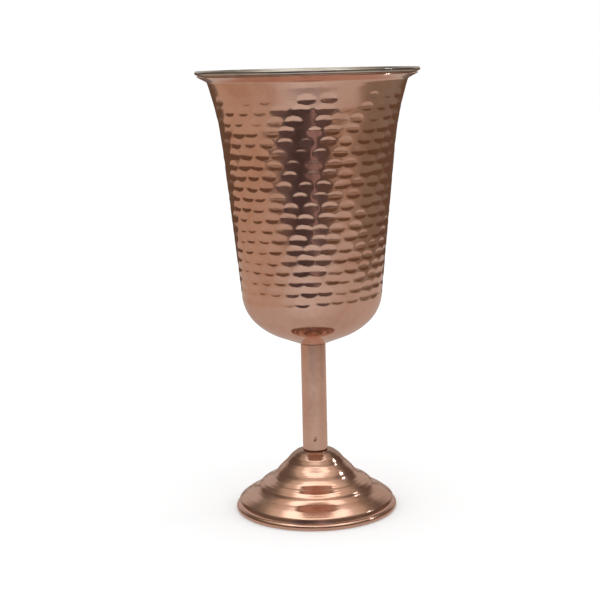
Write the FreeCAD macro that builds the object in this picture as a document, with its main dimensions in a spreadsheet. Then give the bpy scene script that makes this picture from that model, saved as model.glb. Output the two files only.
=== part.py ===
"""Hammered copper goblet with a steel inner cup, a tube stem and a ringed spun foot.

Millimetres, +Z up.  The origin is the centre of the foot's resting plane, and every
piece is turned or spun about the Z axis.  The copper bowl shell, the stem tube and the
foot are drawn together by one long bolt.  Its head is trapped between the copper shell
and the steel inner cup, and its nut is under the foot's crown.
"""
import FreeCAD, Part
import math
import os
import Sketcher

DIMENSIONS = {
    # copper bowl shell, outside surface: corners of its outline from the stem to the lip
    "bowl_seat_height": 64.4,
    "bowl_seat_radius": 5.4,
    "bowl_neck_round": 4.0,
    "bowl_belly_radius": 18.0,
    "bowl_belly_height": 69.37,
    "bowl_belly_round": 24.0,
    "bowl_shoulder_radius": 25.8,
    "bowl_shoulder_height": 76.9,
    "bowl_shoulder_round": 16.0,
    "bowl_flare_radius": 33.05,
    "bowl_flare_height": 150.0,
    "bowl_flare_round": 110.0,
    "bowl_crease_radius": 37.0,
    "bowl_crease_height": 162.7,
    "bowl_crease_round": 1.0,
    "bowl_flange_radius": 40.6,
    "bowl_flange_height": 164.55,
    "bowl_wall": 0.8,
    # steel inner cup: nests in the shell, bridges the bolt's head, hems over the flange
    "cup_gap": 0.1,
    "cup_wall": 0.5,
    "cup_floor_height": 68.2,
    "cup_floor_radius": 15.5,
    "cup_floor_round": 18.0,
    "cup_flange_radius": 40.5,
    "cup_flange_height": 165.85,
    "lip_radius": 40.6,
    "lip_height": 166.05,
    "lip_bead": 0.75,
    # stem tube
    "stem_radius": 4.75,
    "stem_wall": 0.8,
    "stake_height": 27.6,
    "stake_width": 0.45,
    "stake_length": 0.95,
    "stake_depth": 0.5,
    "stake_angle": 28.0,
    # centring bushes and bolt
    "bush_length": 8.0,
    "bush_land": 2.0,
    "bush_bore_radius": 2.15,
    "bush_waist": 0.6,
    "bolt_radius": 1.95,
    "bolt_head_radius": 4.0,
    "bolt_head_height": 2.2,
    "bolt_length": 50.0,
    "bolt_slot_width": 1.2,
    "bolt_slot_depth": 1.1,
    "bolt_hole_radius": 2.2,
    "washer_radius": 4.5,
    "washer_thickness": 0.8,
    "nut_across_flats": 7.0,
    "nut_height": 3.2,
    "nut_chamfer": 0.5,
    "nut_bore_radius": 2.0,
    # spun foot, outside surface: flat crown, shallow rings down the cone, then the bead
    "foot_crown_radius": 6.35,
    "foot_crown_height": 22.8,
    "foot_crown_round": 5.0,
    "foot_wall": 0.8,
    "cap_crest_radius": 9.27,
    "cap_crest_height": 20.8,
    "cap_crest_round": 11.0,
    "upper_valley_radius": 11.14,
    "upper_valley_height": 18.43,
    "upper_valley_round": 6.5,
    "upper_crest_radius": 13.73,
    "upper_crest_height": 16.0,
    "upper_crest_round": 13.0,
    "middle_valley_radius": 16.4,
    "middle_valley_height": 12.75,
    "middle_valley_round": 8.0,
    "middle_crest_radius": 20.63,
    "middle_crest_height": 10.8,
    "middle_crest_round": 7.5,
    "lower_valley_radius": 23.04,
    "lower_valley_height": 7.95,
    "lower_valley_round": 7.0,
    "lower_crest_radius": 26.66,
    "lower_crest_height": 6.15,
    "lower_crest_round": 12.0,
    "foot_shoulder_radius": 29.7,
    "foot_shoulder_height": 4.0,
    "foot_shoulder_round": 2.5,
    "sheet_end_radius": 30.0,
    "sheet_end_height": 2.1,
    "bead_radius": 1.15,
    "bead_circle_radius": 29.65,
    "bead_flat": 0.1,
}


class Size:
    """A number together with the spreadsheet expression that drives it."""

    def __init__(self, number, text):
        self.number = number
        self.text = text

    def __add__(self, other):
        other = as_size(other)
        return Size(self.number + other.number, f"({self.text} + {other.text})")

    def __sub__(self, other):
        other = as_size(other)
        return Size(self.number - other.number, f"({self.text} - {other.text})")

    def __mul__(self, factor):
        return Size(self.number * factor, f"({self.text} * {factor})")


def as_size(value):
    """A plain number counts as a length of that many millimetres."""
    if isinstance(value, Size):
        return value
    return Size(value, f"{value} mm")


def dim(alias):
    """The driving dimension with this name."""
    return Size(DIMENSIONS[alias], f"(dims.{alias} * 1 mm)")


def angle_dim(alias):
    """The driving angle with this name."""
    return Size(DIMENSIONS[alias], f"(dims.{alias} * 1 deg)")


ZERO = as_size(0.0)
UP = FreeCAD.Vector(0, 0, 1)
UPRIGHT = FreeCAD.Rotation(FreeCAD.Vector(1, 0, 0), 90)

doc = FreeCAD.newDocument("goblet")
sheet = doc.addObject("Spreadsheet::Sheet", "dims")
sheet.Label = "driving dimensions"
for row, (name, value) in enumerate(DIMENSIONS.items(), 1):
    sheet.set(f"A{row}", name)
    sheet.set(f"B{row}", str(value))
    sheet.setAlias(f"B{row}", name)
doc.recompute()

node_objects = []


def node(piece, label):
    """Give a finished sub-part its name and its place in the goblet's frame."""
    piece.Label = label
    piece.Placement = FreeCAD.Placement()
    node_objects.append(piece)
    return piece


def bind(piece, path, size):
    """Drive one property, or one named constraint, from the spreadsheet."""
    piece.setExpression(path, size.text)


def constrain(sketch, name, kind, *arguments):
    """Add a named dimension whose last argument is a Size, and drive it."""
    size = arguments[-1]
    index = sketch.addConstraint(Sketcher.Constraint(kind, *arguments[:-1], size.number))
    sketch.renameConstraint(index, name)
    bind(sketch, f"Constraints.{name}", size)


def rounding_arc(before, corner, after, radius):
    """The arc that rounds a corner, the points where it meets the edges, and its first end."""
    back = (before - corner).normalize()
    ahead = (after - corner).normalize()
    half = back.getAngle(ahead) / 2
    centre = corner + (back + ahead).normalize() * (radius / math.sin(half))
    leave = corner + back * (radius / math.tan(half))
    meet = corner + ahead * (radius / math.tan(half))
    turns_left = back.cross(ahead).z < 0
    first, last = (leave, meet) if turns_left else (meet, leave)
    start = math.atan2(first.y - centre.y, first.x - centre.x)
    end = math.atan2(last.y - centre.y, last.x - centre.x)
    circle = Part.Circle(centre, UP, radius)
    return Part.ArcOfCircle(circle, start, end), leave, meet, 1 if turns_left else 2


def draw_outline(sketch, corners, closed):
    """Straight edges between corners (across, up, rounding), with tangent arcs at the roundings.

    The rounding of a corner is None where the corner stays sharp.  Each corner is held by
    two driven distances from the sketch's origin, and each arc by its driven radius.
    """
    points = [FreeCAD.Vector(across.number, up.number, 0) for across, up, rounding in corners]
    leaves = list(points)
    meets = list(points)
    arcs = {}
    for number, (across, up, rounding) in enumerate(corners):
        if rounding is not None:
            around = (points[number - 1], points[number], points[(number + 1) % len(points)])
            shape, leaves[number], meets[number], first = rounding_arc(*around, rounding.number)
            arcs[number] = (sketch.addGeometry(shape, False), first)
    edges = []
    for number in range(len(points) if closed else len(points) - 1):
        line = Part.LineSegment(meets[number], leaves[(number + 1) % len(points)])
        edges.append(sketch.addGeometry(line, False))
    for number, (across, up, rounding) in enumerate(corners):
        if number in arcs:
            arc, first = arcs[number]
            place = (sketch.addGeometry(Part.Point(points[number]), True), 1)
            sketch.addConstraint([
                Sketcher.Constraint("Tangent", edges[number - 1], 2, arc, first),
                Sketcher.Constraint("Tangent", arc, 3 - first, edges[number], 1),
                Sketcher.Constraint("PointOnObject", *place, edges[number - 1]),
                Sketcher.Constraint("PointOnObject", *place, edges[number]),
            ])
            constrain(sketch, f"corner{number}_round", "Radius", arc, rounding)
        else:
            place = (edges[number], 1) if number < len(edges) else (edges[-1], 2)
            if closed or 0 < number < len(edges):
                joint = Sketcher.Constraint("Coincident", edges[number - 1], 2, *place)
                sketch.addConstraint(joint)
        constrain(sketch, f"corner{number}_across", "DistanceX", -1, 1, *place, across)
        constrain(sketch, f"corner{number}_up", "DistanceY", -1, 1, *place, up)


def draw_circle(sketch, name, radius):
    """A circle about the sketch's origin."""
    circle = sketch.addGeometry(Part.Circle(FreeCAD.Vector(), UP, radius.number), False)
    sketch.addConstraint(Sketcher.Constraint("Coincident", circle, 3, -1, 1))
    constrain(sketch, name, "Radius", circle, radius)
    return circle


def spun_sheet(name, corners, wall):
    """Sheet metal of even thickness, spun about Z from the outline of its outside surface."""
    sketch = doc.addObject("Sketcher::SketchObject", f"{name}_outline")
    sketch.Placement = FreeCAD.Placement(FreeCAD.Vector(), UPRIGHT)
    draw_outline(sketch, corners, closed=False)
    section = doc.addObject("Part::Offset2D", f"{name}_section")
    section.Source = sketch
    section.Mode = "Skin"
    section.Fill = True
    section.Join = "Intersection"
    bind(section, "Value", wall)
    spun = doc.addObject("Part::Revolution", f"{name}_spun")
    spun.Source = section
    spun.Axis = UP
    spun.Angle = 360
    spun.Solid = True
    return spun


def ring(name, radius, bead, height):
    """A rolled edge: a torus about Z."""
    torus = doc.addObject("Part::Torus", name)
    bind(torus, "Radius1", radius)
    bind(torus, "Radius2", bead)
    bind(torus, "Placement.Base.z", height)
    return torus


def joined(name, first, second):
    """Two shapes of one sheet, as a single solid."""
    fuse = doc.addObject("Part::Fuse", name)
    fuse.Base = first
    fuse.Tool = second
    return fuse


def cut(name, first, second):
    """The first shape without the second."""
    rest = doc.addObject("Part::Cut", name)
    rest.Base = first
    rest.Tool = second
    return rest


def body(name):
    """An empty body whose sketches attach to its own origin planes."""
    return doc.addObject("PartDesign::Body", name)


def body_sketch(owner, name, role):
    """A sketch on the owner's origin plane with this role."""
    sketch = owner.newObject("Sketcher::SketchObject", name)
    plane = [feature for feature in owner.Origin.OriginFeatures if feature.Role == role][0]
    sketch.AttachmentSupport = [(plane, "")]
    sketch.MapMode = "FlatFace"
    return sketch


def turned(name, corners):
    """A body turned about Z from one closed outline of its half section."""
    owner = body(name)
    sketch = body_sketch(owner, f"{name}_outline", "XZ_Plane")
    draw_outline(sketch, corners, closed=True)
    turning = owner.newObject("PartDesign::Revolution", f"{name}_turning")
    turning.Profile = sketch
    turning.ReferenceAxis = (sketch, ["V_Axis"])
    turning.Angle = 360
    return owner


def sharp(*points):
    """Corners with no rounding."""
    return [(across, up, None) for across, up in points]


# ---- copper bowl shell -------------------------------------------------------------
# A disc with the bolt's hole sits on the stem.  The sheet rises from it in a shallow
# cone, turns up round the shoulder, flares gently and ends in a turned-out flange.

bowl_shell = spun_sheet("bowl_shell", [
    (dim("bolt_hole_radius"), dim("bowl_seat_height"), None),
    (dim("bowl_seat_radius"), dim("bowl_seat_height"), dim("bowl_neck_round")),
    (dim("bowl_belly_radius"), dim("bowl_belly_height"), dim("bowl_belly_round")),
    (dim("bowl_shoulder_radius"), dim("bowl_shoulder_height"), dim("bowl_shoulder_round")),
    (dim("bowl_flare_radius"), dim("bowl_flare_height"), dim("bowl_flare_round")),
    (dim("bowl_crease_radius"), dim("bowl_crease_height"), dim("bowl_crease_round")),
    (dim("bowl_flange_radius"), dim("bowl_flange_height"), None),
], dim("bowl_wall"))
node(bowl_shell, "bowl_shell")

# ---- steel inner cup ---------------------------------------------------------------
# Its wall follows the shell at a small gap, and its lip is a bead over the shell's edge.

nest = dim("bowl_wall") + dim("cup_gap")
nest_up = nest * 0.5
crease_in = nest * 0.8
crease_up = nest * 0.7
inner_cup_sheet = spun_sheet("inner_cup", [
    (ZERO, dim("cup_floor_height"), None),
    (dim("cup_floor_radius"), dim("cup_floor_height"), dim("cup_floor_round")),
    (dim("bowl_shoulder_radius") - nest, dim("bowl_shoulder_height") + nest_up,
     dim("bowl_shoulder_round") - nest),
    (dim("bowl_flare_radius") - nest, dim("bowl_flare_height") + nest_up,
     dim("bowl_flare_round") + nest),
    (dim("bowl_crease_radius") - crease_in, dim("bowl_crease_height") + crease_up,
     dim("bowl_crease_round") + nest),
    (dim("cup_flange_radius"), dim("cup_flange_height"), None),
], dim("cup_wall"))
lip_bead = ring("lip_bead", dim("lip_radius"), dim("lip_bead"), dim("lip_height"))
node(joined("inner_cup_with_lip", inner_cup_sheet, lip_bead), "inner_cup")

# ---- stem tube ---------------------------------------------------------------------
# A plain length of copper tube, staked with one slanting punch mark near its foot.

stem_bore = dim("stem_radius") - dim("stem_wall")
stem = turned("stem", sharp(
    (stem_bore, dim("foot_crown_height")),
    (dim("stem_radius"), dim("foot_crown_height")),
    (dim("stem_radius"), dim("bowl_seat_height")),
    (stem_bore, dim("bowl_seat_height")),
))
stake = doc.addObject("Part::Ellipsoid", "stake_mark")
bind(stake, "Radius1", dim("stake_length"))
bind(stake, "Radius2", dim("stake_width"))
bind(stake, "Radius3", dim("stake_depth"))
stake.Placement.Rotation.Axis = FreeCAD.Vector(0, 1, 0)
bind(stake, "Placement.Rotation.Angle", angle_dim("stake_angle"))
bind(stake, "Placement.Base.y", ZERO - dim("stem_radius"))
bind(stake, "Placement.Base.z", dim("stake_height"))
node(cut("staked_stem", stem, stake), "stem_tube")

# ---- centring bushes ---------------------------------------------------------------
# One at each end of the tube.  Each fills the tube's bore, with a waist turned in it.


def bush(name, low):
    """A turned brass bush whose lower face is at this height."""
    waist = dim("bush_waist")
    neck = stem_bore - waist
    top = low + dim("bush_length")
    lower_land = low + dim("bush_land")
    upper_land = top - dim("bush_land")
    return node(turned(name, sharp(
        (dim("bush_bore_radius"), low),
        (stem_bore, low),
        (stem_bore, lower_land),
        (neck, lower_land + waist),
        (neck, upper_land - waist),
        (stem_bore, upper_land),
        (stem_bore, top),
        (dim("bush_bore_radius"), top),
    )), name)


bush("lower_bush", dim("foot_crown_height"))
bush("upper_bush", dim("bowl_seat_height") - dim("bush_length"))

# ---- bolt, washer and nut ----------------------------------------------------------

under_head = dim("bowl_seat_height") + dim("bowl_wall")
head_top = under_head + dim("bolt_head_height")
bolt_end = under_head - dim("bolt_length")
tie_bolt = turned("tie_bolt", [
    (ZERO, bolt_end, None),
    (dim("bolt_radius"), bolt_end, None),
    (dim("bolt_radius"), under_head, None),
    (dim("bolt_head_radius"), under_head, None),
    (dim("bolt_head_radius"), head_top, dim("bolt_slot_depth")),
    (ZERO, head_top, None),
])
slot_sketch = body_sketch(tie_bolt, "slot_outline", "XZ_Plane")
half_slot = dim("bolt_slot_width") * 0.5
draw_outline(slot_sketch, sharp(
    (ZERO - half_slot, head_top - dim("bolt_slot_depth")),
    (half_slot, head_top - dim("bolt_slot_depth")),
    (half_slot, head_top + dim("bolt_slot_depth")),
    (ZERO - half_slot, head_top + dim("bolt_slot_depth")),
), closed=True)
slot = tie_bolt.newObject("PartDesign::Pocket", "driver_slot")
slot.Profile = slot_sketch
slot.Midplane = True
bind(slot, "Length", dim("bolt_head_radius") * 3)
node(tie_bolt, "tie_bolt")

washer_top = dim("foot_crown_height") - dim("foot_wall")
washer_low = washer_top - dim("washer_thickness")
node(turned("washer", sharp(
    (dim("bolt_hole_radius"), washer_low),
    (dim("washer_radius"), washer_low),
    (dim("washer_radius"), washer_top),
    (dim("bolt_hole_radius"), washer_top),
)), "foot_washer")

nut = body("nut")
nut_sketch = body_sketch(nut, "nut_outline", "XY_Plane")
nut_low = washer_low - dim("nut_height")
flat_radius = dim("nut_across_flats") * 0.5
corner_radius = dim("nut_across_flats") * (1 / 3 ** 0.5)
half_corner = corner_radius * 0.5
bind(nut_sketch, "AttachmentOffset.Base.z", nut_low)
draw_outline(nut_sketch, sharp(
    (corner_radius, ZERO),
    (half_corner, flat_radius),
    (ZERO - half_corner, flat_radius),
    (ZERO - corner_radius, ZERO),
    (ZERO - half_corner, ZERO - flat_radius),
    (half_corner, ZERO - flat_radius),
), closed=True)
draw_circle(nut_sketch, "bore", dim("nut_bore_radius"))
prism = nut.newObject("PartDesign::Pad", "hexagon")
prism.Profile = nut_sketch
bind(prism, "Length", dim("nut_height"))
crown_sketch = body_sketch(nut, "crown_outline", "XZ_Plane")
crown_low = nut_low + dim("nut_height") - dim("nut_chamfer")
draw_outline(crown_sketch, sharp(
    (flat_radius, nut_low + dim("nut_height")),
    (corner_radius + dim("nut_chamfer"), crown_low),
    (corner_radius + dim("nut_chamfer"), nut_low + dim("nut_height")),
), closed=True)
crown = nut.newObject("PartDesign::Groove", "crowned_corners")
crown.Profile = crown_sketch
crown.ReferenceAxis = (crown_sketch, ["V_Axis"])
crown.Angle = 360
node(nut, "foot_nut")

# ---- spun foot ---------------------------------------------------------------------
# Sheet copper: a flat crown, then a cone with shallow rings that swell and dip, down to a
# shoulder over the edge, which is rolled into a bead that is flat where the goblet stands.


def foot_corner(place):
    """A named corner of the foot's outline with its rounding."""
    return dim(f"{place}_radius"), dim(f"{place}_height"), dim(f"{place}_round")


foot_corners = [
    (dim("bolt_hole_radius"), dim("foot_crown_height"), None),
    foot_corner("foot_crown"),
    foot_corner("cap_crest"),
]
for place in ("upper", "middle", "lower"):
    foot_corners.append(foot_corner(f"{place}_valley"))
    foot_corners.append(foot_corner(f"{place}_crest"))
foot_corners.append(foot_corner("foot_shoulder"))
foot_corners.append((dim("sheet_end_radius"), dim("sheet_end_height"), None))
foot_sheet = spun_sheet("foot", foot_corners, dim("foot_wall"))
foot_bead = ring("foot_bead", dim("bead_circle_radius"), dim("bead_radius"),
                 dim("bead_radius") - dim("bead_flat"))
floor = doc.addObject("Part::Cylinder", "floor")
bind(floor, "Radius", dim("bead_circle_radius") * 2)
bind(floor, "Height", dim("bead_radius") * 4)
bind(floor, "Placement.Base.z", dim("bead_radius") * -4)
node(cut("standing_foot", joined("rolled_foot", foot_sheet, foot_bead), floor), "foot")

# ---- checks and export -------------------------------------------------------------

doc.recompute()
for piece in doc.Objects:
    if "Invalid" in piece.State or "Error" in piece.State:
        raise RuntimeError(f"{piece.Name} did not build: {piece.State}")
for piece in node_objects:
    if piece.Shape.isNull() or not piece.Shape.isValid() or not piece.Shape.Solids:
        raise RuntimeError(f"{piece.Label} has no valid solid")
    if len(piece.Shape.Solids) != 1:
        raise RuntimeError(f"{piece.Label} is {len(piece.Shape.Solids)} solids")

os.makedirs("parts", exist_ok=True)
for piece in node_objects:
    piece.Shape.exportStep(f"parts/{piece.Label}.step")
    box = piece.Shape.BoundBox
    print(f"{piece.Label}: {piece.Shape.Volume:.0f} mm3, "
          f"z {box.ZMin:.2f} to {box.ZMax:.2f}, radius {box.XMax:.2f}")
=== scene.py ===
"""Looks for the hammered copper goblet: detailed meshes, materials, studio and camera.

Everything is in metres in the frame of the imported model, which stands on z = 0 with its
axis on Z.  Outlines are written in millimetres as (radius, height, rounding) corners.
"""
import math
import bpy
import numpy as np
from mathutils import Matrix, Vector


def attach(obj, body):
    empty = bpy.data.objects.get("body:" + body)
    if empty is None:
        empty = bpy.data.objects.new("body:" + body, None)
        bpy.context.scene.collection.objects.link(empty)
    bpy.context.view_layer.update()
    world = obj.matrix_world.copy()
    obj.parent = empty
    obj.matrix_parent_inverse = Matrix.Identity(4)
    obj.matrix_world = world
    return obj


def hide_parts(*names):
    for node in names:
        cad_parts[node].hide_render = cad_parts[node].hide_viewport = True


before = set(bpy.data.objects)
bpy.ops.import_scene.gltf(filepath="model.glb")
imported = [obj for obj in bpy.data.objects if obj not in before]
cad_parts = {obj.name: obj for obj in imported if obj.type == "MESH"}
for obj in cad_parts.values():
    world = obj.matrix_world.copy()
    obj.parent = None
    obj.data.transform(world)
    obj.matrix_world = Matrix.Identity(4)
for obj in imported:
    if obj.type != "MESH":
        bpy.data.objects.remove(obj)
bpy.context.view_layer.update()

MM = 0.001
TURN = 2 * math.pi
random = np.random.default_rng(7)

# ---- dimensions in millimetres, as the CAD model has them ---------------------------

BOWL_WALL = 0.8
CUP_WALL = 0.5
CUP_GAP = 0.1
NEST = BOWL_WALL + CUP_GAP
FOOT_WALL = 0.8
STEM_RADIUS = 4.75
STEM_WALL = 0.8
SEAT_HEIGHT = 64.4
CROWN_HEIGHT = 22.8
BOLT_HOLE = 2.2

BOWL_OUTLINE = [
    (BOLT_HOLE, SEAT_HEIGHT, 0),
    (5.4, SEAT_HEIGHT, 4.0),
    (18.0, 69.37, 24.0),
    (25.8, 76.9, 16.0),
    (33.05, 150.0, 110.0),
    (37.0, 162.7, 1.0),
    (40.6, 164.55, 0),
]
CUP_OUTLINE = [
    (0.0, 68.2, 0),
    (15.5, 68.2, 18.0),
    (25.8 - NEST, 76.9 + NEST / 2, 16.0 - NEST),
    (33.05 - NEST, 150.0 + NEST / 2, 110.0 + NEST),
    (37.0 - NEST * 0.8, 162.7 + NEST * 0.7, 1.0 + NEST),
    (40.5, 165.85, 0),
]
LIP_CENTRE = (40.6, 166.05)
LIP_BEAD = 0.75
FOOT_OUTLINE = [
    (BOLT_HOLE, CROWN_HEIGHT, 0),
    (6.35, CROWN_HEIGHT, 5.0),
    (9.27, 20.8, 11.0),
    (11.14, 18.43, 6.5),
    (13.73, 16.0, 13.0),
    (16.4, 12.75, 8.0),
    (20.63, 10.8, 7.5),
    (23.04, 7.95, 7.0),
    (26.66, 6.15, 12.0),
    (29.7, 4.0, 2.5),
    (30.0, 2.1, 0),
]
BEAD_CENTRE = (29.65, 1.05)
BEAD_RADIUS = 1.15

# ---- outlines and lathe work --------------------------------------------------------


def rounded(corners, degrees=4.0):
    """Points of an outline whose corners are rounded by tangent arcs."""
    points = []
    for number, (across, up, rounding) in enumerate(corners):
        corner = Vector((across, up))
        if rounding == 0:
            points.append(corner)
            continue
        back = (Vector(corners[number - 1][:2]) - corner).normalized()
        ahead = (Vector(corners[number + 1][:2]) - corner).normalized()
        half = back.angle(ahead) / 2
        centre = corner + (back + ahead).normalized() * (rounding / math.sin(half))
        start = corner + back * (rounding / math.tan(half)) - centre
        turn = math.pi - 2 * half
        if back.x * ahead.y - back.y * ahead.x > 0:
            turn = -turn
        count = max(2, math.ceil(abs(math.degrees(turn)) / degrees))
        for step in range(count + 1):
            angle = turn * step / count
            spun = Matrix.Rotation(angle, 2) @ start
            points.append(centre + spun)
    return np.array([tuple(point) for point in points])


def lengths(path):
    """Distance along a path to each of its points."""
    steps = np.linalg.norm(np.diff(path, axis=0), axis=1)
    return np.concatenate([[0], np.cumsum(steps)])


def spaced(path, spacing):
    """The same path with evenly spaced points."""
    along = lengths(path)
    count = max(2, int(round(along[-1] / spacing)) + 1)
    places = np.linspace(0, along[-1], count)
    return np.stack([np.interp(places, along, path[:, axis]) for axis in (0, 1)], axis=1)


def normals(path):
    """Unit normals on the left of a path."""
    slope = np.gradient(path, axis=0)
    slope /= np.linalg.norm(slope, axis=1)[:, None]
    return np.stack([-slope[:, 1], slope[:, 0]], axis=1)


def arc(centre, radius, start, end, count):
    """Points on a circle from one angle to another, in degrees."""
    angles = np.radians(np.linspace(start, end, count))
    return np.stack([centre[0] + radius * np.cos(angles), centre[1] + radius * np.sin(angles)], 1)


def grid(path, segments):
    """Radii, heights and angles of a turned surface, as arrays of rows by segments."""
    angles = np.arange(segments) * TURN / segments
    radii = np.repeat(path[:, :1], segments, axis=1)
    heights = np.repeat(path[:, 1:], segments, axis=1)
    return radii, heights, np.repeat(angles[None, :], len(path), axis=0)


def turned(name, radii, heights, angles, closed, sharp=35.0):
    """A mesh from rows of points round the Z axis; a closed section joins last row to first."""
    rows, segments = radii.shape
    points = np.stack([radii * np.cos(angles), radii * np.sin(angles), heights], axis=2)
    index = np.arange(rows * segments).reshape(rows, segments)
    after = np.roll(index, -1, axis=1)
    lower, upper = (index, np.roll(index, -1, axis=0)) if closed else (index[:-1], index[1:])
    lower_after, upper_after = (after, np.roll(after, -1, 0)) if closed else (after[:-1], after[1:])
    faces = np.stack([lower, lower_after, upper_after, upper], axis=2).reshape(-1, 4)
    mesh = bpy.data.meshes.new(name)
    mesh.from_pydata((points.reshape(-1, 3) * MM).tolist(), [], faces.tolist())
    mesh.validate()
    mesh.polygons.foreach_set("use_smooth", [True] * len(mesh.polygons))
    mesh.set_sharp_from_angle(angle=math.radians(sharp))
    piece = bpy.data.objects.new(name, mesh)
    bpy.context.scene.collection.objects.link(piece)
    return piece


def waves(angles, places, size, seed):
    """Slow hand-made unevenness of two to eight lobes a turn, never above zero."""
    draw = np.random.default_rng(seed)
    total = np.zeros_like(angles)
    for lobes in range(2, 9):
        phase = draw.uniform(0, TURN)
        drift = draw.uniform(-0.15, 0.15)
        weight = draw.uniform(0.4, 1)
        total += weight / lobes * np.cos(lobes * angles + drift * places + phase)
    total /= np.abs(total).max()
    return (total - 1) / 2 * size


# ---- hammered bowl shell ------------------------------------------------------------

HAMMER_LOW = 77.5
HAMMER_HIGH = 158.8
ROW_PITCH = 3.85
DENTS_PER_TURN = 27.71
DENT_DEPTH = 0.155
DENT_STRENGTH = (0.75, 1.2)
DENT_HALF_LONG = (2.9, 3.5)
DENT_HALF_UP = (1.7, 2.1)
DENT_HALF_DOWN = (1.15, 1.45)
DENT_REACH_DOWN = 2.0
DENT_REACH_UP = 3.0
DENT_LEAN = 0.05
DENT_FLATNESS = 1.5
SCATTER_UP = 0.16
SCATTER_ROUND = 0.02
TOP_ROW_MISSED = 0.2

SHELL_SEGMENTS = 396
SMOOTH_SPACING = 0.8
HAMMERED_SPACING = 0.5
LIP_SPACING = 0.4
SHELL_UNEVENNESS = 0.05


def hammer_dents(along, radii, angles):
    """Depth of a spiral of hammer blows at each point of the shell.

    Blows are firmer under the lip and weaker in the lowest rows.  Each dent is wider than
    it is tall, and reaches further up than down from its deepest point.
    """
    depth = np.zeros_like(radii)
    rows = along[:, 0]
    first, last = rows[0], rows[-1]
    turns = (last - first) / ROW_PITCH
    for number in range(int(turns * DENTS_PER_TURN)):
        turn = number / DENTS_PER_TURN
        middle = first + turn * ROW_PITCH + random.normal(0, SCATTER_UP)
        angle = turn * TURN + random.normal(0, SCATTER_ROUND)
        from_top = (last - middle) / ROW_PITCH
        from_low = (middle - first) / ROW_PITCH
        if from_top < 1 and random.random() < TOP_ROW_MISSED:
            continue
        firm_under_lip = max(1, 1.35 - 0.1 * from_top)
        fade_at_bottom = min(1, 0.3 + 0.25 * from_low)
        firm = firm_under_lip * fade_at_bottom
        deep = DENT_DEPTH * firm * random.uniform(*DENT_STRENGTH)
        half_long = random.uniform(*DENT_HALF_LONG)
        half_up = random.uniform(*DENT_HALF_UP)
        half_down = random.uniform(*DENT_HALF_DOWN)
        lean = random.normal(0, DENT_LEAN)
        low, high = np.searchsorted(rows, (middle - DENT_REACH_DOWN, middle + DENT_REACH_UP))
        if high <= low:
            continue
        away = (angles[low:high] - angle + math.pi) % TURN - math.pi
        across = away * radii[low:high]
        up = along[low:high] - middle
        tilted = across * math.cos(lean) + up * math.sin(lean)
        raised = up * math.cos(lean) - across * math.sin(lean)
        half_tall = np.where(raised > 0, half_up, half_down)
        reach = (tilted / half_long) ** 2 + (raised / half_tall) ** 2
        depth[low:high] = np.maximum(depth[low:high], deep * (1 - reach ** DENT_FLATNESS))
    return depth


def make_bowl_shell():
    """The copper shell: smooth bottom and lip band, hammered wall between them.

    Its inside has few points, because it is hidden between the shell and the inner cup.
    """
    outline = rounded(BOWL_OUTLINE)
    along = lengths(outline)
    wall_low = np.interp(HAMMER_LOW, outline[:, 1], along)
    wall_high = np.interp(HAMMER_HIGH, outline[:, 1], along)

    def stretch(start, end, spacing):
        places = np.linspace(start, end, int((end - start) / spacing) + 1)
        return np.stack([np.interp(places, along, outline[:, axis]) for axis in (0, 1)], 1)

    outside = np.concatenate([
        stretch(0, wall_low, SMOOTH_SPACING)[:-1],
        stretch(wall_low, wall_high, HAMMERED_SPACING),
        stretch(wall_high, along[-1], LIP_SPACING)[1:],
    ])
    inside = rounded(BOWL_OUTLINE, degrees=8.0)
    inside = (inside + normals(inside) * BOWL_WALL)[::-1]
    radii, heights, angles = grid(outside, SHELL_SEGMENTS)
    places = np.repeat(lengths(outside)[:, None], SHELL_SEGMENTS, axis=1)
    hammered = (heights[:, 0] >= HAMMER_LOW - 0.01) & (heights[:, 0] <= HAMMER_HIGH + 0.01)
    depth = np.zeros_like(radii)
    depth[hammered] = hammer_dents(places[hammered], radii[hammered], angles[hammered])
    depth -= waves(angles, places, SHELL_UNEVENNESS, seed=3)
    outward = -normals(outside)
    radii = radii - depth * outward[:, :1]
    heights = heights - depth * outward[:, 1:]
    inner = grid(inside, SHELL_SEGMENTS)
    rows = [np.concatenate(pair) for pair in zip((radii, heights, angles), inner)]
    return turned("bowl_shell_hammered", *rows, closed=True)


CUP_SEGMENTS = 300
CUP_SPACING = 1.0
AXIS_RADIUS = 0.01


def make_inner_cup():
    """The steel cup inside, from floor to flange, with the bead of its lip."""
    outside = spaced(rounded(CUP_OUTLINE), CUP_SPACING)
    inside = outside + normals(outside) * CUP_WALL
    lip = arc(LIP_CENTRE, LIP_BEAD, start=-125, end=160, count=40)
    keep_out = np.linalg.norm(outside - np.array(LIP_CENTRE), axis=1) > LIP_BEAD
    keep_in = np.linalg.norm(inside - np.array(LIP_CENTRE), axis=1) > LIP_BEAD
    section = np.concatenate([outside[keep_out], lip, inside[keep_in][::-1]])
    section[:, 0] = np.maximum(section[:, 0], AXIS_RADIUS)
    return turned("inner_cup_spun", *grid(section, CUP_SEGMENTS), closed=True)


# ---- stem ---------------------------------------------------------------------------

STAKE_HEIGHT = 27.6
STAKE_HALF_LONG = 0.95
STAKE_HALF_WIDE = 0.45
STAKE_DEPTH = 0.42
STAKE_SLANT = math.radians(28)
STEM_SEGMENTS = 180
STEM_SPACING = 0.2
STEM_UNEVENNESS = 0.04
END_EASE = 0.25
END_ROUND = END_EASE * 0.8


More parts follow.
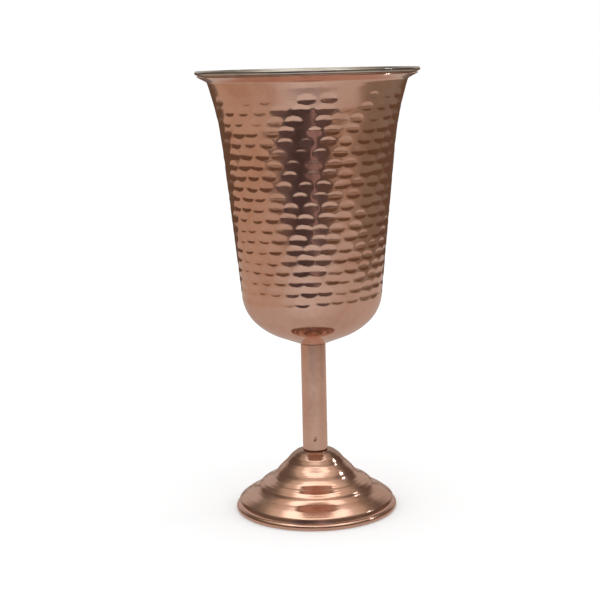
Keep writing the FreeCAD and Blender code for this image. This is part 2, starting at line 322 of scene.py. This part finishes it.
def make_stem():
    """Copper tube with eased ends and a slanting punch mark at the front."""
    outside = spaced(rounded([
        (STEM_RADIUS - END_EASE, CROWN_HEIGHT, 0),
        (STEM_RADIUS, CROWN_HEIGHT, END_ROUND),
        (STEM_RADIUS, SEAT_HEIGHT, END_ROUND),
        (STEM_RADIUS - END_EASE, SEAT_HEIGHT, 0),
    ]), STEM_SPACING)
    bore = STEM_RADIUS - STEM_WALL
    inside = np.array([(bore, SEAT_HEIGHT), (bore, CROWN_HEIGHT)])
    section = np.concatenate([outside, inside])
    radii, heights, angles = grid(section, STEM_SEGMENTS)
    on_skin = radii > STEM_RADIUS - END_EASE * 1.01
    from_front = (angles + math.pi / 2 + math.pi) % TURN - math.pi
    across = from_front * STEM_RADIUS
    up = heights - STAKE_HEIGHT
    tilted = across * math.cos(STAKE_SLANT) - up * math.sin(STAKE_SLANT)
    raised = up * math.cos(STAKE_SLANT) + across * math.sin(STAKE_SLANT)
    reach = (tilted / STAKE_HALF_WIDE) ** 2 + (raised / STAKE_HALF_LONG) ** 2
    mark = STAKE_DEPTH * np.sqrt(np.clip(1 - reach, 0, 1))
    uneven = waves(angles, heights, STEM_UNEVENNESS, seed=11)
    radii = radii + np.where(on_skin, uneven - mark, 0)
    return turned("stem_tube_drawn", radii, heights, angles, closed=True, sharp=50)


# ---- foot ---------------------------------------------------------------------------

ROLLER_PITCH = 1.9
ROLLER_DEPTH = 0.05
FOOT_SEGMENTS = 360
FOOT_SPACING = 0.2
FOOT_INSIDE_SPACING = 1.0
FOOT_UNEVENNESS = 0.10
SIDEWAYS_SHARE = 0.5


def spinning_marks(along):
    """Depth of the fine ridges the spinner's roller left, which come and go down the foot."""
    roller = np.cos(TURN * along / ROLLER_PITCH + 1.2 * np.sin(along / 1.7))
    firm = 0.6 + 0.4 * np.sin(along / 3.1 + 0.8)
    return ROLLER_DEPTH * firm * (1 - roller) / 2


def make_foot():
    """Spun foot: ringed cone, rolled edge that is flat underneath, and the sheet's inside."""
    outline = rounded(FOOT_OUTLINE)
    outside = spaced(outline, FOOT_SPACING)
    outside = outside - normals(outside) * spinning_marks(lengths(outside))[:, None]
    inside = spaced(outline, FOOT_INSIDE_SPACING)
    inside = inside - normals(inside) * FOOT_WALL
    centre = np.array(BEAD_CENTRE)
    outside = outside[np.linalg.norm(outside - centre, axis=1) > BEAD_RADIUS]
    inside = inside[np.linalg.norm(inside - centre, axis=1) > BEAD_RADIUS]
    bead = arc(BEAD_CENTRE, BEAD_RADIUS, start=70, end=-250, count=40)
    bead[:, 1] = np.maximum(bead[:, 1], 0)
    section = np.concatenate([outside, bead, inside[::-1]])
    radii, heights, angles = grid(section, FOOT_SEGMENTS)
    places = np.repeat(lengths(section)[:, None], FOOT_SEGMENTS, axis=1)
    rows = len(outside)
    uneven = waves(angles[:rows], places[:rows], FOOT_UNEVENNESS, seed=5)
    radii[:rows] += uneven * SIDEWAYS_SHARE
    heights[:rows] += uneven
    return turned("foot_spun", radii, heights, angles, closed=True, sharp=60)


# ---- bolt ---------------------------------------------------------------------------

BOLT_RADIUS = 1.95
BOLT_LENGTH = 50.0
HEAD_RADIUS = 4.0
HEAD_SIDE = 1.0
HEAD_ROUND = 1.2
THREAD_LENGTH = 14.0
THREAD_PITCH = 0.7
THREAD_DEPTH = 0.38
THREAD_SPACING = 0.1
THREAD_FADE = 1.0
END_CHAMFER = 0.5
CHAMFER_SLOPE = 0.6
BOLT_SEGMENTS = 72


def make_bolt():
    """The tie bolt with a cut thread at its lower end and a rounded head."""
    under_head = SEAT_HEIGHT + BOWL_WALL
    side_top = under_head + HEAD_SIDE
    end = under_head - BOLT_LENGTH
    thread_top = end + THREAD_LENGTH
    path = np.concatenate([
        [(AXIS_RADIUS, end)],
        spaced(np.array([(BOLT_RADIUS, end), (BOLT_RADIUS, thread_top)]), THREAD_SPACING),
        [(BOLT_RADIUS, under_head), (HEAD_RADIUS, under_head), (HEAD_RADIUS, side_top)],
        arc((HEAD_RADIUS - HEAD_ROUND, side_top), HEAD_ROUND, start=5, end=90, count=8),
        [(AXIS_RADIUS, side_top + HEAD_ROUND)],
    ])
    radii, heights, angles = grid(path, BOLT_SEGMENTS)
    turn = (heights - end) / THREAD_PITCH - angles / TURN
    tooth = np.abs(turn % 1 - 0.5) * 2
    fade = np.clip((thread_top - heights) / THREAD_FADE, 0, 1)
    on_shank = np.abs(radii - BOLT_RADIUS) < 0.01
    cut = np.where(on_shank, tooth * fade, 0)
    chamfer = np.clip(END_CHAMFER - (heights - end), 0, END_CHAMFER) * (radii > 1)
    radii = radii - THREAD_DEPTH * cut - chamfer * CHAMFER_SLOPE
    return turned("tie_bolt_threaded", radii, heights, angles, closed=False, sharp=30)


bowl_shell = make_bowl_shell()
inner_cup = make_inner_cup()
stem_tube = make_stem()
foot = make_foot()
tie_bolt = make_bolt()

# ---- materials ----------------------------------------------------------------------


class Nodes:
    """Short calls for building a node tree."""

    def __init__(self, tree):
        self.tree = tree

    def add(self, kind, **settings):
        node = self.tree.nodes.new(kind)
        for name, value in settings.items():
            setattr(node, name, value)
        return node

    def link(self, source, target):
        self.tree.links.new(source, target)

    def feed(self, target, value):
        if isinstance(value, bpy.types.NodeSocket):
            self.link(value, target)
        else:
            target.default_value = value

    def maths(self, operation, *values):
        node = self.add("ShaderNodeMath", operation=operation)
        for target, value in zip(node.inputs, values):
            self.feed(target, value)
        return node.outputs[0]

    def noise(self, vector, scale, detail=3.0, roughness=0.5, distortion=0.0):
        node = self.add("ShaderNodeTexNoise")
        self.link(vector, node.inputs["Vector"])
        node.inputs["Scale"].default_value = scale
        node.inputs["Detail"].default_value = detail
        node.inputs["Roughness"].default_value = roughness
        node.inputs["Distortion"].default_value = distortion
        return node.outputs["Fac"]

    def spread(self, value, low, high, to_low, to_high):
        node = self.add("ShaderNodeMapRange", clamp=True, interpolation_type="SMOOTHSTEP")
        self.feed(node.inputs["Value"], value)
        node.inputs["From Min"].default_value = low
        node.inputs["From Max"].default_value = high
        node.inputs["To Min"].default_value = to_low
        node.inputs["To Max"].default_value = to_high
        return node.outputs["Result"]

    def mix(self, factor, first, second):
        node = self.add("ShaderNodeMix", data_type="RGBA")
        self.feed(node.inputs["Factor"], factor)
        self.feed(node.inputs[6], first)
        self.feed(node.inputs[7], second)
        return node.outputs[2]

    def ramp(self, factor, stops):
        node = self.add("ShaderNodeValToRGB")
        self.link(factor, node.inputs["Fac"])
        elements = node.color_ramp.elements
        while len(elements) < len(stops):
            elements.new(0.5)
        for element, (place, colour) in zip(elements, stops):
            element.position = place
            element.color = (*colour, 1)
        return node.outputs["Color"]


MARK_DEPTH = 0.00002
COPPER = (0.87, 0.58, 0.47)
TONED_COPPER = (0.76, 0.46, 0.35)
# Painted shade: darker copper for the foot's crown round the stem's base.
PAINTED_SHADE_COPPER = (0.44, 0.28, 0.21)
PALE_COPPER = (0.92, 0.63, 0.51)
TONED_PALE_COPPER = (0.82, 0.51, 0.40)
STEEL = (0.66, 0.65, 0.63)
TONED_STEEL = (0.52, 0.51, 0.48)
BRASS = (0.86, 0.66, 0.32)
TONED_BRASS = (0.62, 0.44, 0.18)
ZINC = (0.62, 0.62, 0.60)
TONED_ZINC = (0.44, 0.43, 0.40)


def metal(name, clean, toned, rough, lathe_lines, scratches, smudge, stem_shade_radius=None):
    """Polished metal with toning, smudges, lathe lines and fine scratches.

    The last argument is a radius in metres for painted shade: inside it the base colour darkens
    towards the axis, a painted shade and painted dark reflection of the stem where it meets the foot.
    """
    material = bpy.data.materials.new(name)
    material.use_nodes = True
    tree = Nodes(material.node_tree)
    shader = material.node_tree.nodes["Principled BSDF"]
    shader.inputs["Metallic"].default_value = 1.0
    place = tree.add("ShaderNodeTexCoord").outputs["Object"]
    apart = tree.add("ShaderNodeSeparateXYZ")
    tree.link(place, apart.inputs[0])
    across, deep, up = apart.outputs
    radius = tree.maths("SQRT", tree.maths("ADD", tree.maths("MULTIPLY", across, across),
                                           tree.maths("MULTIPLY", deep, deep)))
    angle = tree.maths("ARCTAN2", deep, across)
    around = tree.add("ShaderNodeCombineXYZ")
    tree.link(tree.maths("MULTIPLY", angle, 0.004), around.inputs[0])
    tree.link(radius, around.inputs[1])
    tree.link(up, around.inputs[2])
    cloud = tree.noise(place, scale=55, detail=4, roughness=0.6, distortion=0.4)
    grime = tree.noise(place, scale=260, detail=3, roughness=0.6)
    tone = tree.spread(cloud, 0.42, 0.72, 0.0, 1.0)
    specks = tree.spread(grime, 0.62, 0.75, 0.0, 0.35)
    colour = tree.mix(tree.maths("MINIMUM", tree.maths("ADD", tone, specks), 1.0),
                      (*clean, 1), (*toned, 1))
    # Painted shade and reflection: the base colour darkens near the axis.
    if stem_shade_radius:
        painted_shade_near_stem = tree.spread(radius, stem_shade_radius * 0.6, stem_shade_radius, 0.75, 0.0)
        colour = tree.mix(painted_shade_near_stem, colour, (*PAINTED_SHADE_COPPER, 1))
    tree.link(colour, shader.inputs["Base Color"])
    smears = tree.noise(place, scale=90, detail=4, roughness=0.65, distortion=0.8)
    dull = tree.spread(smears, 0.45, 0.7, rough, rough + smudge)
    tree.link(dull, shader.inputs["Roughness"])
    lines = tree.noise(around.outputs[0], scale=2600, detail=2, roughness=0.5)
    marks = tree.noise(place, scale=2400, detail=2, roughness=0.5)
    height = tree.maths("ADD", tree.maths("MULTIPLY", lines, lathe_lines),
                        tree.maths("MULTIPLY", marks, scratches))
    bump = tree.add("ShaderNodeBump")
    bump.inputs["Distance"].default_value = MARK_DEPTH
    bump.inputs["Strength"].default_value = 1.0
    tree.link(height, bump.inputs["Height"])
    tree.link(bump.outputs["Normal"], shader.inputs["Normal"])
    return material


hammered_copper = metal("hammered_copper", COPPER, TONED_COPPER,
                        rough=0.09, lathe_lines=0.2, scratches=0.4, smudge=0.08)
drawn_copper = metal("drawn_copper", PALE_COPPER, TONED_PALE_COPPER,
                     rough=0.24, lathe_lines=0.4, scratches=0.3, smudge=0.12)
# The foot gets painted shade within 13 mm of the axis, round the stem's base.
spun_copper = metal("spun_copper", COPPER, TONED_COPPER,
                    rough=0.14, lathe_lines=0.7, scratches=0.3, smudge=0.10, stem_shade_radius=0.013)
polished_steel = metal("polished_steel", STEEL, TONED_STEEL,
                       rough=0.16, lathe_lines=0.8, scratches=0.3, smudge=0.10)
turned_brass = metal("turned_brass", BRASS, TONED_BRASS,
                     rough=0.24, lathe_lines=1.0, scratches=0.3, smudge=0.10)
zinc_steel = metal("zinc_steel", ZINC, TONED_ZINC,
                   rough=0.34, lathe_lines=0.3, scratches=0.8, smudge=0.14)

SLOTS = {
    "hammered_copper": hammered_copper,
    "polished_steel": polished_steel,
    "drawn_copper": drawn_copper,
    "spun_copper": spun_copper,
    "turned_brass": turned_brass,
    "zinc_steel": zinc_steel,
}
NEW_PIECES = [
    (bowl_shell, "bowl_shell", "hammered_copper"),
    (inner_cup, "inner_cup", "polished_steel"),
    (stem_tube, "stem_tube", "drawn_copper"),
    (foot, "foot", "spun_copper"),
    (tie_bolt, "tie_bolt", "zinc_steel"),
]
for piece, node, slot in NEW_PIECES:
    piece.data.materials.append(SLOTS[slot])
    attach(piece, "root")
    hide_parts(node)
for node, slot in (("upper_bush", "turned_brass"), ("lower_bush", "turned_brass"),
                   ("foot_washer", "zinc_steel"), ("foot_nut", "zinc_steel")):
    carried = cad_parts[node]
    for holder in carried.material_slots:
        holder.material = SLOTS[slot]

# ---- studio -------------------------------------------------------------------------


def sweep(name, profile, half_width):
    """A sheet from a side profile of (depth, height) points, drawn out to both sides."""
    points = [(side * half_width, deep, up) for deep, up in profile for side in (-1, 1)]
    faces = [(2 * n, 2 * n + 1, 2 * n + 3, 2 * n + 2) for n in range(len(profile) - 1)]
    mesh = bpy.data.meshes.new(name)
    mesh.from_pydata(points, [], faces)
    mesh.polygons.foreach_set("use_smooth", [True] * len(faces))
    piece = bpy.data.objects.new(name, mesh)
    bpy.context.scene.collection.objects.link(piece)
    return piece


def make_floor():
    """A plain pale floor that curves up into the backdrop; the metal does not mirror it."""
    bend = 0.8
    flat_end = 1.2
    curve = [(flat_end + bend * math.sin(angle), bend - bend * math.cos(angle))
             for angle in np.linspace(0, math.pi / 2, 24)]
    floor = sweep("floor", [(-2.0, 0.0)] + curve + [(flat_end + bend, 3.0)], half_width=4.0)
    material = bpy.data.materials.new("pale_floor")
    material.use_nodes = True
    shader = material.node_tree.nodes["Principled BSDF"]
    shader.inputs["Base Color"].default_value = (0.95, 0.95, 0.95, 1)
    shader.inputs["Roughness"].default_value = 0.95
    shader.inputs["Specular IOR Level"].default_value = 0.0
    floor.data.materials.append(material)
    floor.visible_glossy = False


TABLE_MIDDLE = -0.20
TABLE_DEPTH = (-0.34, 0.45)
JUST_UNDER_FLOOR = -0.0002
# Glow colours of the table sheet: all of them are painted light, since the sheet glows.
TABLE_GLOW_COOL = (0.48, 0.41, 0.36, 1)
TABLE_GLOW_WARM = (0.46, 0.34, 0.26, 1)
# Painted shade: the glow is darker close to the goblet.
TABLE_SHADE_NEAR_GOBLET = (0.48, 0.41, 0.37, 1)
# Painted pool of light on the table in front of the goblet.
TABLE_LIGHT_POOL = (0.60, 0.56, 0.53, 1)
# Painted shadow at the table's front edge.
EDGE_SHADE = (0.08, 0.06, 0.06, 1)


def make_glowing_table_reflection():
    """A glowing sheet that only the metal mirrors: a painted reflection of a lit table top.

    It glows brightest in front of the goblet (a painted pool of light), darker close to it
    (painted shade), warmer to the left, and dark at its front edge (a painted shadow).
    """
    table = sweep("painted_table_reflection", [(deep, JUST_UNDER_FLOOR) for deep in TABLE_DEPTH], half_width=0.5)
    table.location.x = TABLE_MIDDLE
    table.visible_camera = False
    table.visible_diffuse = False
    table.visible_shadow = False
    material = bpy.data.materials.new("table_reflection_glow")
    material.use_nodes = True
    tree = Nodes(material.node_tree)
    material.node_tree.nodes.clear()
    apart = tree.add("ShaderNodeSeparateXYZ")
    tree.link(tree.add("ShaderNodeTexCoord").outputs["Object"], apart.inputs[0])
    across, deep = apart.outputs[:2]
    sideways = tree.maths("ABSOLUTE", tree.maths("ADD", across, TABLE_MIDDLE))
    near = tree.spread(sideways, 0.02, 0.22, 1.0, 0.0)
    forward = tree.spread(deep, -0.20, -0.03, 1.0, 0.0)
    warm = tree.spread(across, -0.25, 0.15, 1.0, 0.0)
    colour = tree.mix(warm, TABLE_GLOW_COOL, TABLE_GLOW_WARM)
    # Painted shade: darker glow close to the goblet.
    colour = tree.mix(tree.maths("MULTIPLY", near, 0.8), colour, TABLE_SHADE_NEAR_GOBLET)
    # Painted pool of light: brighter glow in front of the goblet.
    colour = tree.mix(tree.maths("MULTIPLY", forward, near), colour, TABLE_LIGHT_POOL)
    # Painted shadow: dark glow at the table's front edge.
    inward = tree.spread(deep, -0.315, -0.27, 0.0, 1.0)
    colour = tree.mix(inward, EDGE_SHADE, colour)
    # The sheet glows though it is no lamp: its whole colour is a painted reflection.
    glow = tree.add("ShaderNodeEmission")
    tree.link(colour, glow.inputs["Color"])
    output = tree.add("ShaderNodeOutputMaterial")
    tree.link(glow.outputs[0], output.inputs["Surface"])
    table.data.materials.append(material)


# Colours of the room that the metal mirrors.  Low down, and where the photographer stands,
# they go by bearing in degrees: 0 is the camera's side and 90 is its right.  Elsewhere they
# go by elevation.
ROOM_BY_BEARING = [
    (-180, (0.15, 0.12, 0.10)),
    (-150, (0.20, 0.16, 0.13)),
    (-118, (0.30, 0.23, 0.18)),
    (-95, (0.40, 0.31, 0.24)),
    (-50, (0.43, 0.33, 0.26)),
    (-44, (0.40, 0.31, 0.25)),
    (-40, (0.16, 0.12, 0.11)),
    (-30, (0.09, 0.065, 0.065)),
    (-12, (0.06, 0.042, 0.042)),
    (2, (0.10, 0.075, 0.075)),
    (6, (0.30, 0.21, 0.20)),
    (9, (0.30, 0.21, 0.20)),
    (12, (0.09, 0.07, 0.07)),
    (24, (0.12, 0.085, 0.075)),
    (33, (0.32, 0.24, 0.19)),
    (48, (0.42, 0.33, 0.26)),
    (66, (0.30, 0.23, 0.18)),
    (85, (0.23, 0.185, 0.145)),
    (125, (0.23, 0.19, 0.15)),
    (180, (0.15, 0.12, 0.10)),
]
ROOM_BY_ELEVATION = [
    (4, (0.13, 0.078, 0.05)),
    (20, (0.13, 0.095, 0.07)),
    (36, (0.13, 0.105, 0.085)),
    (46, (0.22, 0.18, 0.14)),
    (53, (0.56, 0.47, 0.38)),
    (62, (0.66, 0.57, 0.48)),
    (66, (1.6, 1.5, 1.36)),
    (75, (1.6, 1.5, 1.36)),
    (84, (0.60, 0.51, 0.42)),
]
BACK_WALL = (0.48, 0.43, 0.39, 1)
PHOTOGRAPHER = (-41, 24)


def make_world():
    """A plain white studio, with the dark and bright sides of a room for the metal to mirror."""
    world = bpy.data.worlds.new("studio")
    bpy.context.scene.world = world
    world.use_nodes = True
    tree = Nodes(world.node_tree)
    world.node_tree.nodes.clear()
    direction = tree.add("ShaderNodeTexCoord").outputs["Generated"]
    apart = tree.add("ShaderNodeSeparateXYZ")
    tree.link(direction, apart.inputs[0])
    across, deep, up = apart.outputs
    bearing = tree.maths("ARCTAN2", across, tree.maths("MULTIPLY", deep, -1.0))
    bearing = tree.maths("ADD", tree.maths("DIVIDE", bearing, TURN), 0.5)
    level = tree.maths("ADD", tree.maths("DIVIDE", tree.maths("ARCSINE", up), math.pi), 0.5)

    def at(degrees):
        """A bearing as a share of the full turn."""
        return (degrees + 180) / 360

    def height(degrees):
        """An elevation as a share of the half turn from straight down to straight up."""
        return (degrees + 90) / 180

    sides = tree.ramp(bearing, [(at(degrees), colour) for degrees, colour in ROOM_BY_BEARING])
    above = tree.ramp(level, [(height(degrees), colour) for degrees, colour in ROOM_BY_ELEVATION])
    from_front = tree.maths("ABSOLUTE", tree.maths("SUBTRACT", bearing, 0.5))
    behind = tree.spread(from_front, 0.37, 0.42, 0.0, 1.0)
    low = tree.maths("MULTIPLY", tree.spread(level, height(1), height(5), 0.0, 1.0),
                     tree.spread(level, height(30), height(40), 1.0, 0.0))
    above = tree.mix(tree.maths("MULTIPLY", behind, low), above, BACK_WALL)
    left, right = at(PHOTOGRAPHER[0]), at(PHOTOGRAPHER[1])
    facing = tree.maths("MULTIPLY", tree.spread(bearing, left - 0.01, left + 0.02, 0.0, 1.0),
                        tree.spread(bearing, right - 0.02, right + 0.02, 1.0, 0.0))
    facing = tree.maths("MULTIPLY", facing, tree.spread(level, height(40), height(52), 1.0, 0.0))
    higher = tree.spread(level, height(-14), height(-8), 0.0, 1.0)
    higher = tree.maths("MULTIPLY", higher, tree.maths("SUBTRACT", 1.0, facing))
    room = tree.mix(higher, sides, above)
    mirrored = tree.add("ShaderNodeBackground")
    tree.link(room, mirrored.inputs["Color"])
    mirrored.inputs["Strength"].default_value = 1.0
    studio = tree.add("ShaderNodeBackground")
    studio.inputs["Color"].default_value = (1.0, 1.0, 1.0, 1)
    studio.inputs["Strength"].default_value = 1.0
    choose = tree.add("ShaderNodeMixShader")
    tree.link(tree.add("ShaderNodeLightPath").outputs["Is Glossy Ray"], choose.inputs[0])
    tree.link(studio.outputs[0], choose.inputs[1])
    tree.link(mirrored.outputs[0], choose.inputs[2])
    output = tree.add("ShaderNodeOutputWorld")
    tree.link(choose.outputs[0], output.inputs["Surface"])


LIGHT_TARGET = Vector((0, 0, 0.08))


def area_light(name, bearing, elevation, distance, size, power, mirrored):
    """A square soft light aimed at the goblet; bearing 0 is the camera's side."""
    turn = math.radians(bearing)
    rise = math.radians(elevation)
    away = Vector((math.sin(turn) * math.cos(rise), -math.cos(turn) * math.cos(rise), math.sin(rise)))
    light = bpy.data.lights.new(name, "AREA")
    light.size = size
    light.energy = power
    lamp = bpy.data.objects.new(name, light)
    bpy.context.scene.collection.objects.link(lamp)
    lamp.location = LIGHT_TARGET + away * distance
    lamp.rotation_euler = (-away).to_track_quat("-Z", "Y").to_euler()
    lamp.visible_camera = False
    lamp.visible_glossy = mirrored
    return lamp


CAMERA_PLACE = (0, -0.515, 0.171)
CAMERA_LENS = 83.1
CAMERA_YAW = math.radians(0.51)
CAMERA_PITCH = math.radians(9.94)
CAMERA_ROLL = math.radians(1.35)


def make_camera():
    """The photographer's view: just above the lip, half a metre away, tipped down."""
    camera = bpy.data.cameras.new("camera")
    camera.sensor_width = 36
    camera.lens = CAMERA_LENS
    eye = bpy.data.objects.new("camera", camera)
    bpy.context.scene.collection.objects.link(eye)
    forward = Vector((-math.sin(CAMERA_YAW) * math.cos(CAMERA_PITCH),
                      math.cos(CAMERA_YAW) * math.cos(CAMERA_PITCH),
                      -math.sin(CAMERA_PITCH)))
    level = forward.cross(Vector((0, 0, 1))).normalized()
    top = level.cross(forward)
    right = level * math.cos(CAMERA_ROLL) - top * math.sin(CAMERA_ROLL)
    head = right.cross(forward)
    axes = Matrix((right, head, -forward)).transposed()
    eye.matrix_world = Matrix.Translation(CAMERA_PLACE) @ axes.to_4x4()
    bpy.context.scene.camera = eye


make_floor()
make_glowing_table_reflection()
make_world()
area_light("window", bearing=103, elevation=38, distance=1.2, size=0.06, power=0.4, mirrored=True)
area_light("overhead", bearing=0, elevation=80, distance=1.6, size=1.6, power=6.0, mirrored=False)
make_camera()
scene = bpy.context.scene
scene.view_settings.view_transform = "Standard"
scene.view_settings.look = "None"
